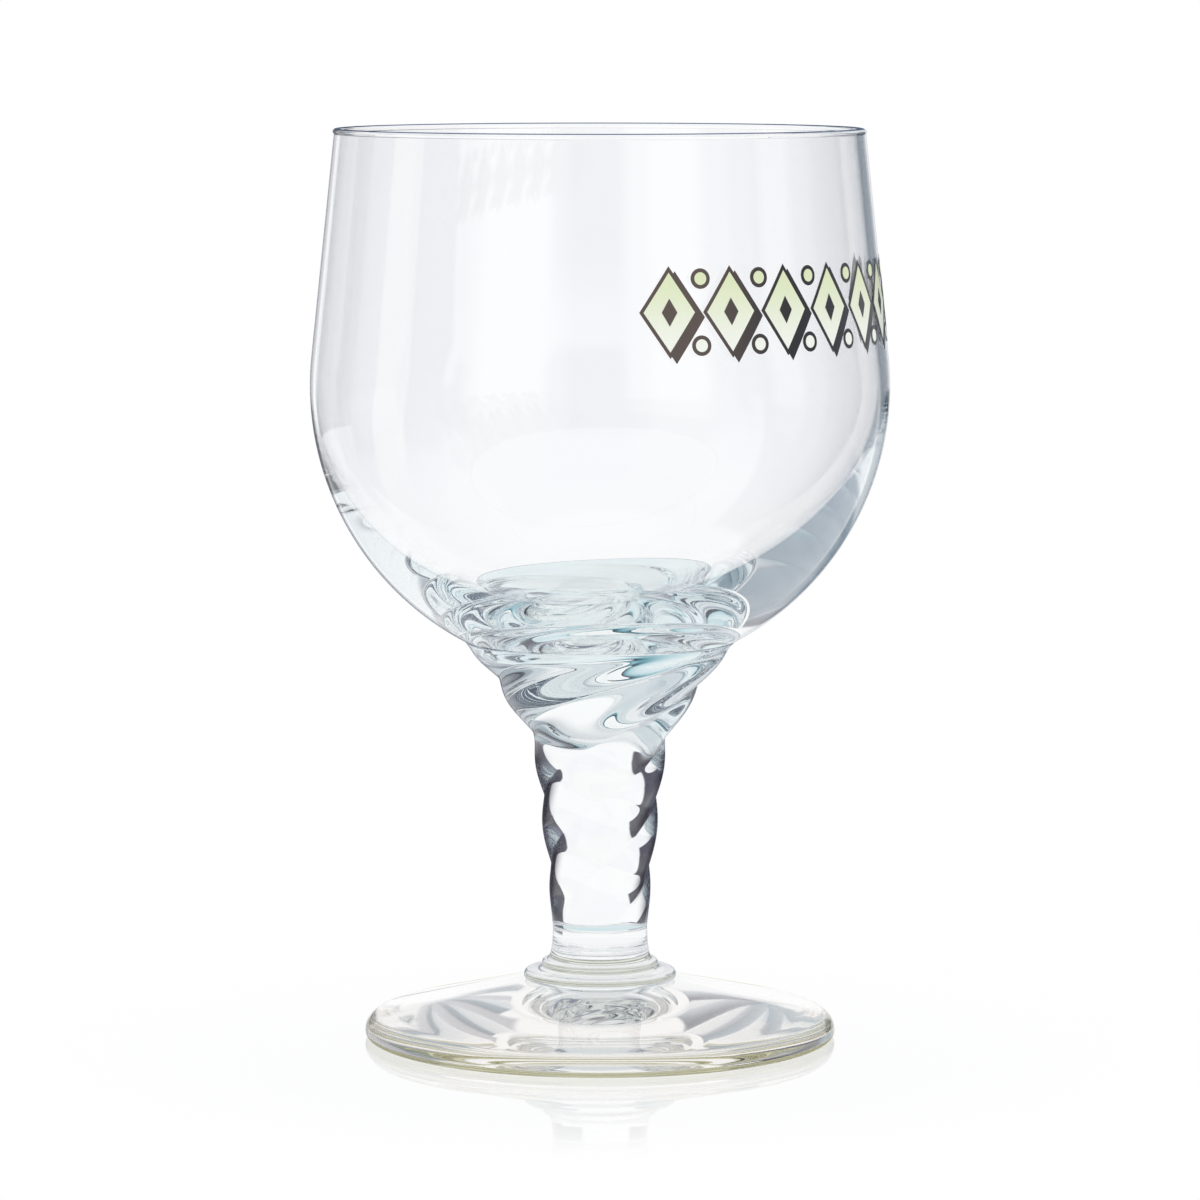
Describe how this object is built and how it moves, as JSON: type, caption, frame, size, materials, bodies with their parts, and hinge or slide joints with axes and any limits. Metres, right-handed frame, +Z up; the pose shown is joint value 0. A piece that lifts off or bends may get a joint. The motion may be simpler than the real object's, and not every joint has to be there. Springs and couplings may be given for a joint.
{
  "type": "beer goblet",
  "caption": "Clear glass beer goblet: round blown bowl with a beaded rim on a right-hand twisted stem, a stepped merese and a domed foot.",
  "frame": {"origin": "centre of the foot's rest plane, on the goblet's axis", "axes": "+Z up along the axis from the foot to the rim, -Y towards the picture's camera, +X to its right"},
  "size_m": [0.095, 0.095, 0.15],
  "materials": {
    "bowl_glass": "clear blown soda-lime glass, fire-polished, faint aqua in the depth",
    "stem_glass": "clear pressed soda-lime glass, fire-polished, faint blue-grey in the depth",
    "foot_glass": "clear pressed soda-lime glass, faint olive in the depth",
    "dark_enamel": "fired-on brown-black enamel print, slightly glossy",
    "pale_enamel": "fired-on pale yellow-green to white enamel print, slightly glossy"
  },
  "bodies": {
    "root": {"foot": "foot_glass", "merese": "stem_glass", "twisted_stem": "stem_glass", "bowl": "bowl_glass"}
  },
  "joints": []
}
